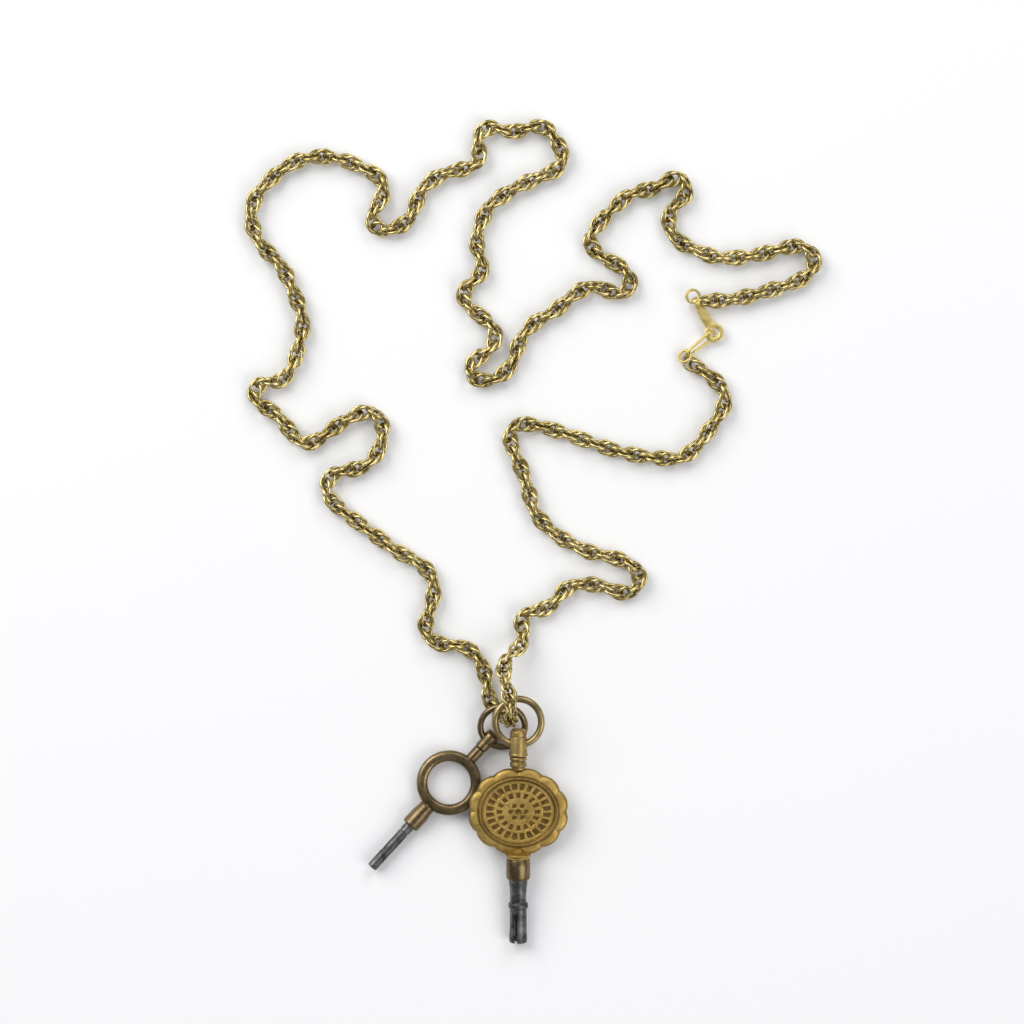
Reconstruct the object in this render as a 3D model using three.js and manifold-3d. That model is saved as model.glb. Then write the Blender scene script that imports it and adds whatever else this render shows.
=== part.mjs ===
// A pocket watch guard chain lying on a table: a closed loop of spiral rope chain, fastened by a
// hook-and-tag clasp, with two watch keys strung on it by their swivel bows.
// Millimetres, +Z up. The table is z = 0. +Y runs up the chain, away from the keys.

import * as THREE from 'three';
import { mergeVertices } from 'three/addons/utils/BufferGeometryUtils.js';
import Module from 'manifold-3d';

const wasm = await Module();
wasm.setup();

// ---- Driving dimensions ----------------------------------------------------------------------

const ROPE_RADIUS = 1.55; // half the width of the rope chain
const ROPE_SIDES = 8;
const ROPE_STEP = 2.0; // length of one straight facet of the rope
const PATH_STEP = 0.2; // spacing of the points that a section's path runs through
const FOLD_GAP = 1.0; // space in the rope at a line where the chain folds
const JOIN_GAP = 0.4; // space in the rope between two sections that don't fold

const KEY_1_PIVOT = [-2.5, -39.7, 5.1]; // where bow 1 passes through its post
const KEY_1_TILT = 5.25; // degrees; the pipe end lies on the table and the bow end is held up
const BOW_1_TILT = 4;
const BOW_1_RADIUS = 4.3;
const BOW_1_WIRE = 0.65;

const KEY_2_PIVOT = [-8.2, -39.3, 1.7];
const KEY_2_HEADING = -42.5; // degrees about Z
const BOW_2_ROLL = 15;
const BOW_2_TILT = 14;
const BOW_2_RADIUS = 4.15;
const BOW_2_WIRE = 0.6;

const POST_1_RADIUS = 1.78;
const POST_2_RADIUS = 1.45;
const CROSS_HOLE_RADIUS = 1.05;
const BOW_SEAT = 0.16; // the bow's wire bends, so it sits this far back in its hole
const STEM_RADIUS = 0.4;
const STEM_HEAD_RADIUS = 0.75;
const STEM_BORE_RADIUS = 0.7;
const HEAD_BORE_RADIUS = 1.05;

const MEDALLION_HALF_WIDTH = 9.4;
const MEDALLION_HALF_HEIGHT = 8.25;
const MEDALLION_CENTRE = -12.75; // along the key, from the pivot
const MEDALLION_BACK = -0.9;
const MEDALLION_FACE = 0.45;
const MEDALLION_RIM_TOP = 0.9;
const LOBES = 12;
const LOBE_DEPTH = 0.4;
const RIM_OUTER = [7.9, 6.9]; // half width and half height of the raised oval rim
const RIM_INNER = [6.9, 5.9];
const JOIN_OVERLAP = 0.1; // how far two joined solids run into each other

// Places along key 1, measured from its pivot. Its pipe points towards -Y.
const POST_1_TIP = 2.9;
const POST_1_FOOT = -2.25;
const NECK_1_TOP = -2.55;
const NECK_1_FOOT = -4.2;
const NECK_1_RADIUS = 1.6;
const FERRULE_1_TOP = -21.3;
const FERRULE_1_END = -25.5;
const FERRULE_1_RADIUS = 2.25;
const TANG_1_TOP = -23.7; // the pipe's tang sits in the ferrule's bore
const TANG_1_RADIUS = 1.0;
const COLLAR_1_TOP = -29.9;
const COLLAR_1_END = -31.2;
const COLLAR_1_RADIUS = 1.85;
const PIPE_1_TOP = -26;
const PIPE_1_END = -37.5;
const PIPE_1_RADIUS = 1.62;
const PIPE_1_WAIST = 1.55;
const STEM_TOP = -1.15; // the swivel stem's head is held inside the post
const STEM_SHOULDER = -1.45;
const POST_SHOULDER = -1.75;

// Places along key 2, measured the same way.
const POST_2_TIP = 1.9;
const POST_2_FOOT = -2.0;
const NECK_2_TOP = -2.3;
const NECK_2_FOOT = -5.6;
const NECK_2_RADIUS = 1.1;
const FERRULE_2_TOP = -16;
const FERRULE_2_END = -21.6;
const FERRULE_2_RADIUS = 1.7;
const TANG_2_TOP = -19.9;
const TANG_2_RADIUS = 0.65;
const PIPE_2_TOP = -21.9;
const PIPE_2_END = -32.1;
const PIPE_2_RADIUS = 1.0;
const TANG_CLEARANCE = 0.3;

const SOCKET_1 = 1.5; // side of the square winding hole
const SOCKET_2 = 1.05;
const SOCKET_DEPTH = 6;
const SLIT_OFFSET = -0.2; // the pipe's slit lies a little to one side
const SLIT_1 = { width: 0.3, length: 5.5 };
const SLIT_2 = { width: 0.2, length: 4 };

const HANDLE_RING_RADIUS = 5.05;
const HANDLE_RING_SECTION = 1.15;
const HANDLE_CENTRE = -10.7;

const TAG_HOLE = [34.2, 37.0, 1.5]; // middle of the hole in the clasp's tag
const TAG_HEADING = 30.6;
const TAG_THICKNESS = 0.45;
const TAG_DISC_RADIUS = 1.8;
const TAG_HOLE_RADIUS = 0.85;
const TAG_HALF_WIDTH = 0.87;
const TAG_STRIP_END = 5.6;
const TAG_EYE_AT = 6.7;
const TAG_EYE_BORE = 0.45;
const TAG_EYE_OUTER = 0.85;
const TAG_EYE_HALF_WIDTH = 0.5;

const HOOK_HEADING = 38.3;
const HOOK_LENGTH = 6.6;
const HOOK_HALF_HEIGHT = 1.0;
const HOOK_HALF_SPREAD = 0.65;
const CLASP_WIRE = 0.25;
const END_RING_RADIUS = 1.2;
const HOOK_RING_OFFSET = 0.45; // from the hook's closed end back to the middle of its ring

// ---- The rope's route ------------------------------------------------------------------------
// One open line from the clasp's tag, round the loop, through both bows and back to the hook.
// Each section starts at its first point and ends at the first point of the next one.
// A section with fold: true starts on a line where the chain can fold.
// Points are [x, y] on the table, or [x, y, height] where the rope climbs over the bows.

const ROUTE = [
  { name: 'chain_tag_end', points: [[33, 43], [36.5, 43]] },
  { name: 'chain_tip_lower', fold: true,
    points: [[39, 43.5], [41.5, 44], [44.5, 45], [47, 45.5], [49.5, 46.5], [52, 47.7]] },
  { name: 'chain_tip_upper', points: [[53.3, 50.2], [52, 52.9], [49.3, 53.4], [46, 52.5], [43, 51.7]] },
  { name: 'chain_shoulder', fold: true,
    points: [[39, 51], [36.5, 51], [34.5, 51], [32, 52], [29.5, 53], [27.5, 54], [26, 56], [25.5, 58]] },
  { name: 'chain_right_arch_outer', fold: true,
    points: [[26, 60], [28, 61.7], [29.4, 63.6], [28.4, 65.9], [26, 66], [24, 64.5]] },
  { name: 'chain_right_arch_inner', points: [[22, 63.7], [20.2, 63.5], [18.5, 63], [16.5, 61.5]] },
  { name: 'chain_bend_upper', fold: true,
    points: [[15, 60], [13, 58], [11.5, 56], [10.7, 54.3], [11.5, 52.5], [13.5, 51]] },
  { name: 'chain_bend_lower',
    points: [[15.5, 50], [17.5, 49], [18.7, 47], [18.2, 45], [16.5, 44], [14.5, 44.7], [12.5, 45.7]] },
  { name: 'chain_slope',
    points: [[10.5, 45.7], [8.5, 44.5], [6.5, 43], [5, 41.5], [2.5, 40], [0.5, 39]] },
  { name: 'chain_loop_outer', fold: true,
    points: [[-1.2, 37], [-2.5, 35], [-3, 32.5], [-4.3, 30], [-6.5, 28.4]] },
  { name: 'chain_loop_inner',
    points: [[-9.2, 27.9], [-11.3, 28.7], [-11.7, 30.8], [-10.2, 32.3], [-8.2, 33.2], [-7, 35]] },
  { name: 'chain_zigzag_lower', fold: true,
    points: [[-6.5, 37], [-8, 39], [-10, 40.5], [-12, 42], [-13, 44]] },
  { name: 'chain_zigzag_upper',
    points: [[-12, 46], [-10, 47.2], [-9, 49], [-9.5, 51], [-10.3, 52.7], [-10.2, 55], [-9.5, 57.5]] },
  { name: 'chain_middle_arch_right', fold: true,
    points: [[-8.5, 60], [-7, 61.5], [-5.5, 62.5], [-2.5, 64.5], [0, 65.5], [2.5, 66.5], [5, 67.5],
      [6, 69.5]] },
  { name: 'chain_middle_crown_right', fold: true,
    points: [[5.5, 71.5], [4.5, 73], [3.5, 75], [1.5, 75.7], [-0.5, 75.5]] },
  { name: 'chain_middle_crown_left',
    points: [[-2.5, 74.6], [-4.5, 74.6], [-6.5, 75.3], [-8.5, 75.5], [-10, 74]] },
  { name: 'chain_middle_arch_left', fold: true,
    points: [[-10, 71.5], [-9.5, 69.5], [-11, 68], [-13.5, 67.5], [-16, 67], [-18, 66], [-20, 64.5],
      [-21.2, 62.5]] },
  { name: 'chain_valley', fold: true,
    points: [[-22, 60], [-23, 58], [-24.5, 57], [-27, 56], [-29, 56.5], [-30, 58]] },
  { name: 'chain_left_arch_inner', fold: true,
    points: [[-29.5, 60], [-28, 62], [-27.5, 64], [-28.3, 66], [-30.5, 67.5], [-33, 68.5],
      [-35.5, 69.5]] },
  { name: 'chain_left_arch_outer',
    points: [[-38, 70], [-40.5, 70], [-43, 69.5], [-45.5, 68.5], [-47.5, 67], [-49.5, 65],
      [-51.5, 63]] },
  { name: 'chain_left_side_upper', fold: true,
    points: [[-52.5, 60], [-52.5, 57.5], [-51.5, 55], [-50, 52.5], [-48, 51]] },
  { name: 'chain_left_side_lower',
    points: [[-46.5, 49], [-45.5, 47], [-44.5, 44.5], [-43.5, 42], [-42.7, 39.5]] },
  { name: 'chain_left_corner', fold: true,
    points: [[-43, 37], [-43.5, 35], [-44, 32.5], [-45, 30.5], [-46, 28.5], [-47.7, 27.7],
      [-49.8, 28], [-51.8, 26.7], [-52, 24.8], [-50.5, 23.3]] },
  { name: 'chain_left_dip',
    points: [[-48.3, 22.3], [-46.3, 20.5], [-45, 18], [-43, 16.3], [-41, 16.3], [-38.5, 18],
      [-36, 20]] },
  { name: 'chain_left_lobe', fold: true,
    points: [[-33.5, 21.3], [-31, 22.5], [-28.8, 21.7], [-27.7, 19.5], [-28, 16.5], [-29, 14],
      [-31, 12]] },
  { name: 'chain_left_knee', fold: true, points: [[-33.5, 11.3], [-35.5, 11.3], [-37.7, 10.3]] },
  { name: 'chain_left_diagonal_upper', fold: true,
    points: [[-38.7, 8], [-38, 6.2], [-36, 4], [-32.5, 1.5], [-29, -1]] },
  { name: 'chain_left_diagonal_lower',
    points: [[-26, -3.5], [-23, -5], [-20.7, -6.2], [-19, -8], [-18, -10.5], [-18.5, -13],
      [-19.2, -15.5]] },
  { name: 'chain_left_leg', fold: true,
    points: [[-20, -17.5], [-19.7, -19.5], [-18.2, -21], [-16, -21.5], [-13, -21.5], [-11, -22.7],
      [-9.5, -24.5], [-8.6, -27]] },
  { name: 'chain_saddle',
    points: [[-8.2, -29.5], [-8, -31.5], [-7.1, -32.9], [-5.8, -34.2, 1.6], [-4.6, -35.1, 2.7],
      [-4, -35.4, 4.7], [-3.9, -34.9, 7], [-3.9, -33.2, 8.6], [-4, -31.2, 8.8]] },
  { name: 'chain_right_leg',
    points: [[-4.5, -29.3, 8.3], [-5, -27.4, 7.3], [-5.3, -25.7, 6.1], [-4.7, -23.9, 5],
      [-3.2, -22.5, 3.9], [-1.7, -21.2, 2.8], [-1.3, -19.5, 1.9]] },
  { name: 'chain_right_step', fold: true,
    points: [[-2, -17.5], [-1.7, -16], [-0.3, -15], [1.5, -15], [3.5, -14.3], [5, -12.5],
      [6.3, -10.8], [8.5, -10], [10.5, -10]] },
  { name: 'chain_right_lobe', fold: true,
    points: [[13, -10.3], [15, -11], [17.5, -12], [19.5, -11], [20.5, -9], [19.5, -7], [17.5, -5.7],
      [15, -5]] },
  { name: 'chain_right_diagonal', fold: true,
    points: [[13, -4.5], [10.5, -4], [8.5, -3], [6, -1.7], [4, -0.3], [2, 1.5], [0.5, 3.5], [-0.2, 6]] },
  { name: 'chain_right_rise', fold: true,
    points: [[-0.7, 8], [-1.5, 10.5], [-2.5, 13], [-3.7, 15.5], [-4.3, 18], [-3.3, 19.7], [-1.5, 20],
      [1, 19.7], [4, 18.9]] },
  { name: 'chain_right_traverse',
    points: [[7.5, 17.7], [11, 16.5], [14, 15.5], [17, 14.5], [20.5, 14], [24, 13.5], [27, 13.3]] },
  { name: 'chain_right_climb',
    points: [[29, 14], [31, 15.7], [32.5, 17.7], [34, 20], [35.5, 22], [36.5, 24.3], [35.7, 26.7]] },
  { name: 'chain_hook_end', points: [[34, 28.5], [32, 30], [30, 31.2]] },
];

// ---- Small geometry helpers ------------------------------------------------------------------

const radians = THREE.MathUtils.degToRad;

function solid(geometry) {
  const bare = geometry.index ? geometry.toNonIndexed() : geometry.clone();
  bare.deleteAttribute('normal');
  bare.deleteAttribute('uv');
  const merged = mergeVertices(bare, 1e-4);
  return new wasm.Manifold(new wasm.Mesh({
    numProp: 3,
    vertProperties: new Float32Array(merged.attributes.position.array),
    triVerts: new Uint32Array(merged.index.array),
  }));
}

function geometryOf(manifold) {
  const result = manifold.getMesh();
  const geometry = new THREE.BufferGeometry();
  geometry.setAttribute('position', new THREE.BufferAttribute(new Float32Array(result.vertProperties), 3));
  geometry.setIndex(new THREE.BufferAttribute(new Uint32Array(result.triVerts), 1));
  geometry.computeVertexNormals();
  return geometry;
}

// A round piece about the Y axis. The outline is [radius, y] pairs that start and end on the axis.
function turned(outline, sides = 20) {
  const points = outline.map(([radius, y]) => new THREE.Vector2(radius, y));
  return new THREE.LatheGeometry(points, sides);
}

// A cylinder about the X axis, for a cross-hole.
function crossPin(radius, length, sides = 16) {
  return new THREE.CylinderGeometry(radius, radius, length, sides).rotateZ(Math.PI / 2);
}

// A flat plate from a shape in XY, from z = low to z = high.
function plate(shape, low, high, curveSegments = 12) {
  const options = { depth: high - low, bevelEnabled: false, curveSegments };
  return new THREE.ExtrudeGeometry(shape, options).translate(0, 0, low);
}

function polygon(radius, sides) {
  const shape = new THREE.Shape();
  for (let i = 0; i < sides; i++) {
    const angle = (2 * Math.PI * (i + 0.5)) / sides;
    const x = radius * Math.cos(angle);
    const y = radius * Math.sin(angle);
    if (i === 0) shape.moveTo(x, y);
    else shape.lineTo(x, y);
  }
  shape.closePath();
  return shape;
}

// A wire along a list of points, with flat ends.
function wire(points, radius, sides, steps) {
  const path = new THREE.CatmullRomCurve3(points, false, 'centripetal');
  const section = polygon(radius / Math.cos(Math.PI / sides), sides);
  return new THREE.ExtrudeGeometry(section, { steps, bevelEnabled: false, extrudePath: path });
}

// ---- Materials -------------------------------------------------------------------------------

const finishes = {
  chain: { color: 0xb9993f, roughness: 0.3, metalness: 1 },
  clasp: { color: 0xbd9f4a, roughness: 0.42, metalness: 1 },
  key_1: { color: 0xa9803a, roughness: 0.48, metalness: 1 },
  key_2: { color: 0x7d6540, roughness: 0.45, metalness: 1 },
  steel: { color: 0x55565a, roughness: 0.4, metalness: 1 },
};

function part(name, finish, geometry) {
  const mesh = new THREE.Mesh(geometry, new THREE.MeshStandardMaterial(finishes[finish]));
  mesh.name = name;
  return mesh;
}

// ---- Rope chain ------------------------------------------------------------------------------

// The point on the smooth route (a cubic B-spline) at a position counted in route points.
function routePoint(route, position) {
  const i = Math.min(Math.floor(position), route.length - 2);
  const t = position - i;
  const before = i > 0 ? route[i - 1] : route[0].clone().multiplyScalar(2).sub(route[1]);
  const beyond = i + 2 < route.length
    ? route[i + 2]
    : route[i + 1].clone().multiplyScalar(2).sub(route[i]);
  return new THREE.Vector3()
    .addScaledVector(before, (1 - t) ** 3 / 6)
    .addScaledVector(route[i], (3 * t ** 3 - 6 * t ** 2 + 4) / 6)
    .addScaledVector(route[i + 1], (-3 * t ** 3 + 3 * t ** 2 + 3 * t + 1) / 6)
    .addScaledVector(beyond, t ** 3 / 6);
}

// Points spaced evenly along one section of the route, with the gap at each end left off.
function sectionPoints(route, from, to, gapBefore, gapAfter) {
  const count = 24 * (to - from);
  const samples = [];
  for (let i = 0; i <= count; i++) samples.push(routePoint(route, from + ((to - from) * i) / count));
  const reach = [0];
  for (let i = 1; i <= count; i++) reach.push(reach[i - 1] + samples[i].distanceTo(samples[i - 1]));
  const start = gapBefore / 2;
  const end = reach[count] - gapAfter / 2;
  const steps = Math.ceil((end - start) / PATH_STEP);
  const points = [];
  for (let k = 0; k <= steps; k++) {
    const along = start + ((end - start) * k) / steps;
    let i = 1;
    while (i < count && reach[i] < along) i++;
    const share = (along - reach[i - 1]) / (reach[i] - reach[i - 1]);
    points.push(samples[i - 1].clone().lerp(samples[i], share));
  }
  return points;
}

function ropeSections() {
  const starts = [];
  const route = [];
  for (const section of ROUTE) {
    starts.push(route.length);
    for (const [x, y, height = ROPE_RADIUS] of section.points) route.push(new THREE.Vector3(x, y, height));
  }
  const gapAt = (index) => {
    if (index === 0 || index === ROUTE.length) return 0;
    return ROUTE[index].fold ? FOLD_GAP : JOIN_GAP;
  };
  return ROUTE.map((section, index) => {
    const to = index + 1 < ROUTE.length ? starts[index + 1] : route.length - 1;
    const points = sectionPoints(route, starts[index], to, gapAt(index), gapAt(index + 1));
    const steps = Math.max(2, Math.round(((points.length - 1) * PATH_STEP) / ROPE_STEP));
    return part(section.name, 'chain', wire(points, ROPE_RADIUS, ROPE_SIDES, steps));
  });
}

// ---- Shared key pieces -----------------------------------------------------------------------

// A ring in the XY plane whose wire runs through the post's cross-hole, at the origin.
function bow(radius, wireRadius) {
  return new THREE.TorusGeometry(radius, wireRadius, 8, 28).translate(0, radius - BOW_SEAT, 0);
}

// The swivel stem above a neck, ending in a head: its outline from the neck up to the axis.
const STEM_OUTLINE = [
  [STEM_RADIUS, STEM_SHOULDER], [STEM_HEAD_RADIUS, STEM_SHOULDER],
  [STEM_HEAD_RADIUS, STEM_TOP], [0, STEM_TOP],
];

// A round hole about the Y axis, from y = low to y = high.
function boring(radius, low, high) {
  return solid(turned([[0, low], [radius, low], [radius, high], [0, high]], 14));
}

// The post that the bow passes through: a barrel with a cross-hole and a stepped bore for the stem.
function post(radius, tip, foot) {
  const chamfer = 0.55;
  const barrel = solid(turned([
    [0, foot], [radius, foot], [radius, tip - chamfer], [radius - chamfer, tip], [0, tip],
  ]));
  const crossHole = solid(crossPin(CROSS_HOLE_RADIUS, 4 * radius));
  const headBore = boring(HEAD_BORE_RADIUS, POST_SHOULDER, 0);
  const stemBore = boring(STEM_BORE_RADIUS, foot - 1, 0);
  return geometryOf(barrel.subtract(crossHole).subtract(headBore).subtract(stemBore));
}

// The square winding hole up the end of a pipe, with the slit that lets it spring.
function socketed(pipe, end, side, slit) {
  const reach = 4;
  const socketBox = new THREE.BoxGeometry(side, 2 * SOCKET_DEPTH, side).translate(0, end, 0);
  const slitBox = new THREE.BoxGeometry(slit.width, 2 * slit.length, reach);
  slitBox.translate(SLIT_OFFSET, end, reach / 2);
  return geometryOf(solid(pipe).subtract(solid(socketBox)).subtract(solid(slitBox)));
}

// ---- Key 1: the medallion key ----------------------------------------------------------------

function scallopedOutline(halfWidth, halfHeight, depth) {
  const shape = new THREE.Shape();
  const count = 6 * LOBES;
  for (let i = 0; i < count; i++) {
    const angle = (2 * Math.PI * i) / count;
    const lobe = depth * (Math.abs(Math.sin((LOBES * angle) / 2)) - 1);
    const x = (halfWidth + lobe) * Math.cos(angle);
    const y = (halfHeight + lobe) * Math.sin(angle);
    if (i === 0) shape.moveTo(x, y);
    else shape.lineTo(x, y);
  }
  shape.closePath();
  return shape;
}

function ovalBand(outer, inner) {
  const band = new THREE.Shape().absellipse(0, 0, outer[0], outer[1], 0, 2 * Math.PI);
  band.holes.push(new THREE.Path().absellipse(0, 0, inner[0], inner[1], 0, 2 * Math.PI));
  return band;
}

function medallion() {
  const outline = scallopedOutline(MEDALLION_HALF_WIDTH, MEDALLION_HALF_HEIGHT, LOBE_DEPTH);
  const body = plate(outline, MEDALLION_BACK, MEDALLION_FACE);
  const rim = plate(ovalBand(RIM_OUTER, RIM_INNER), MEDALLION_FACE - JOIN_OVERLAP, MEDALLION_RIM_TOP, 18);
  return geometryOf(solid(body).add(solid(rim))).translate(0, MEDALLION_CENTRE, 0);
}

function neck1() {
  const waist = NECK_1_RADIUS - 0.25;
  return turned([
    [0, NECK_1_FOOT], [waist, NECK_1_FOOT], [NECK_1_RADIUS, NECK_1_FOOT + 0.3],
    [NECK_1_RADIUS, NECK_1_TOP - 0.35], [waist, NECK_1_TOP], [STEM_RADIUS, NECK_1_TOP], ...STEM_OUTLINE,
  ]);
}

function ferrule1() {
  const edge = 0.4;
  const body = turned([
    [0, FERRULE_1_END], [FERRULE_1_RADIUS - 0.15, FERRULE_1_END],
    [FERRULE_1_RADIUS, FERRULE_1_END + edge], [FERRULE_1_RADIUS, FERRULE_1_TOP - 0.7],
    [FERRULE_1_RADIUS - 0.35, FERRULE_1_TOP], [0, FERRULE_1_TOP],
  ]);
  const bore = boring(TANG_1_RADIUS + 0.35, FERRULE_1_END - 1, TANG_1_TOP + TANG_CLEARANCE);
  return geometryOf(solid(body).subtract(bore));
}

function pipe1() {
  const outline = [
    [0, PIPE_1_END], [PIPE_1_RADIUS, PIPE_1_END], [PIPE_1_RADIUS, COLLAR_1_END],
    [COLLAR_1_RADIUS, COLLAR_1_END + 0.2], [COLLAR_1_RADIUS, COLLAR_1_TOP - 0.2],
    [PIPE_1_WAIST, COLLAR_1_TOP], [PIPE_1_WAIST, COLLAR_1_TOP + 1.4], [PIPE_1_WAIST + 0.2, PIPE_1_TOP],
    [TANG_1_RADIUS, PIPE_1_TOP + 0.2], [TANG_1_RADIUS, TANG_1_TOP], [0, TANG_1_TOP],
  ];
  return socketed(turned(outline), PIPE_1_END, SOCKET_1, SLIT_1);
}

function key1() {
  const group = new THREE.Group();
  group.position.set(...KEY_1_PIVOT);
  const bowGroup = new THREE.Group();
  bowGroup.rotation.x = radians(BOW_1_TILT);
  bowGroup.add(part('key_1_bow', 'key_1', bow(BOW_1_RADIUS, BOW_1_WIRE)));
  const body = new THREE.Group();
  body.rotation.x = radians(KEY_1_TILT);
  body.add(part('key_1_post', 'key_1', post(POST_1_RADIUS, POST_1_TIP, POST_1_FOOT)));
  body.add(part('key_1_neck', 'key_1', neck1()));
  body.add(part('key_1_medallion', 'key_1', medallion()));
  body.add(part('key_1_ferrule', 'key_1', ferrule1()));
  body.add(part('key_1_pipe', 'steel', pipe1()));
  group.add(bowGroup, body);
  return group;
}

// ---- Key 2: the ring-handled key -------------------------------------------------------------

function handle2() {
  const ring = new THREE.TorusGeometry(HANDLE_RING_RADIUS, HANDLE_RING_SECTION, 10, 32);
  ring.translate(0, HANDLE_CENTRE, 0);
  const neck = turned([
    [0, NECK_2_FOOT], [NECK_2_RADIUS - 0.1, NECK_2_FOOT], [NECK_2_RADIUS, NECK_2_FOOT + 1],
    [NECK_2_RADIUS, NECK_2_TOP], [STEM_RADIUS, NECK_2_TOP], ...STEM_OUTLINE,
  ]);
  const throat = FERRULE_2_RADIUS - 0.25;
  const ferrule = turned([
    [0, FERRULE_2_END], [FERRULE_2_RADIUS - 0.15, FERRULE_2_END], [FERRULE_2_RADIUS, FERRULE_2_END + 0.4],
    [FERRULE_2_RADIUS, FERRULE_2_END + 3], [throat, FERRULE_2_TOP - 1.2], [throat, FERRULE_2_TOP],
    [0, FERRULE_2_TOP],
  ]);
  const bore = boring(TANG_2_RADIUS + 0.3, FERRULE_2_END - 1, TANG_2_TOP + TANG_CLEARANCE);
  return geometryOf(solid(ring).add(solid(neck)).add(solid(ferrule)).subtract(bore));
}

function pipe2() {
  const outline = [
    [0, PIPE_2_END], [PIPE_2_RADIUS, PIPE_2_END], [PIPE_2_RADIUS, PIPE_2_TOP],
    [TANG_2_RADIUS, PIPE_2_TOP + 0.1], [TANG_2_RADIUS, TANG_2_TOP], [0, TANG_2_TOP],
  ];
  return socketed(turned(outline, 16), PIPE_2_END, SOCKET_2, SLIT_2);
}

function key2() {
  const group = new THREE.Group();
  group.position.set(...KEY_2_PIVOT);
  group.rotation.z = radians(KEY_2_HEADING);
  const rolled = new THREE.Group();
  rolled.rotation.y = radians(BOW_2_ROLL);
  const bowGroup = new THREE.Group();
  bowGroup.rotation.x = radians(BOW_2_TILT);
  bowGroup.add(part('key_2_bow', 'key_2', bow(BOW_2_RADIUS, BOW_2_WIRE)));
  rolled.add(bowGroup, part('key_2_post', 'key_2', post(POST_2_RADIUS, POST_2_TIP, POST_2_FOOT)));
  group.add(rolled, part('key_2_handle', 'key_2', handle2()), part('key_2_pipe', 'steel', pipe2()));
  return group;
}

// ---- Clasp -----------------------------------------------------------------------------------

// The tag: a flat strip with a pierced disc at one end and the other end rolled round its ring.
function tag() {
  const disc = new THREE.Shape().absarc(0, 0, TAG_DISC_RADIUS, 0, 2 * Math.PI);
  const strip = new THREE.Shape([
    new THREE.Vector2(-TAG_HALF_WIDTH, 1),
    new THREE.Vector2(TAG_HALF_WIDTH, 1),
    new THREE.Vector2(TAG_HALF_WIDTH, TAG_STRIP_END),
    new THREE.Vector2(TAG_EYE_HALF_WIDTH, TAG_STRIP_END + 0.4),
    new THREE.Vector2(TAG_EYE_HALF_WIDTH, TAG_EYE_AT),
    new THREE.Vector2(-TAG_EYE_HALF_WIDTH, TAG_EYE_AT),
    new THREE.Vector2(-TAG_EYE_HALF_WIDTH, TAG_STRIP_END + 0.4),
    new THREE.Vector2(-TAG_HALF_WIDTH, TAG_STRIP_END),
  ]);
  const half = TAG_THICKNESS / 2;
  const eyeHeight = TAG_EYE_OUTER - half;
  const hole = new THREE.CylinderGeometry(TAG_HOLE_RADIUS, TAG_HOLE_RADIUS, 3, 18).rotateX(Math.PI / 2);
  const eye = crossPin(TAG_EYE_OUTER, 2 * TAG_EYE_HALF_WIDTH).translate(0, TAG_EYE_AT, eyeHeight);
  const bore = crossPin(TAG_EYE_BORE, 3).translate(0, TAG_EYE_AT, eyeHeight);
  const body = solid(plate(disc, -half, half)).add(solid(plate(strip, -half, half))).add(solid(eye));
  return geometryOf(body.subtract(solid(hole)).subtract(solid(bore)));
}

// The hook: wire bent into a long narrow loop, left open near its closed end.
// It is drawn in XY with its bend at the origin and its closed end at -X.
function hook() {
  const bend = Math.hypot(HOOK_HALF_HEIGHT, HOOK_HALF_SPREAD);
  const near = -bend;
  const far = bend - HOOK_LENGTH;
  const points = [];
  const addArc = (x, from, to) => {
    for (let i = 0; i <= 6; i++) {
      const angle = radians(from + ((to - from) * i) / 6);
      points.push(new THREE.Vector3(x + bend * Math.cos(angle), bend * Math.sin(angle), 0));
    }
  };
  points.push(new THREE.Vector3(far + 1.2, -bend, 0));
  addArc(near, -90, 90);
  addArc(far, 90, 270);
  points.push(new THREE.Vector3(far + 0.6, -bend, 0));
  return wire(points, CLASP_WIRE, 6, 34);
}

function endRing() {
  return new THREE.TorusGeometry(END_RING_RADIUS, CLASP_WIRE, 6, 20);
}

function clasp() {
  const group = new THREE.Group();
  group.position.set(...TAG_HOLE);
  const tagSide = new THREE.Group();
  tagSide.rotation.z = radians(TAG_HEADING);
  tagSide.add(part('clasp_tag', 'clasp', tag()));
  const tagRing = part('clasp_tag_ring', 'clasp', endRing());
  tagRing.position.set(0, TAG_EYE_AT + END_RING_RADIUS, TAG_EYE_OUTER - TAG_THICKNESS / 2);
  tagSide.add(tagRing);
  const hookSide = new THREE.Group();
  hookSide.rotation.z = radians(HOOK_HEADING);
  const leaning = new THREE.Group();
  leaning.rotation.x = Math.atan2(HOOK_HALF_HEIGHT, HOOK_HALF_SPREAD);
  leaning.add(part('clasp_hook', 'clasp', hook()));
  const hookRing = part('clasp_hook_ring', 'clasp', endRing());
  hookRing.rotation.x = Math.PI / 2;
  hookRing.position.set(-HOOK_LENGTH - HOOK_RING_OFFSET, 0, 0);
  leaning.add(hookRing);
  hookSide.add(leaning);
  group.add(tagSide, hookSide);
  return group;
}

// ---- Assembly --------------------------------------------------------------------------------

const group = new THREE.Group();
group.add(...ropeSections(), key1(), key2(), clasp());

export default group;
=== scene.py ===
"""The looks of a pocket watch guard chain: a closed loop of spiral rope chain with a hook-and-tag
clasp and two watch keys, lying on a pale table under soft studio light.

Named lengths and outlines are in millimetres and become metres when a mesh is made. The rope's
route, its fold lines and the lights' places are in metres.
"""

import math
import random

import bpy
from mathutils import Matrix, Vector


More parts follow.
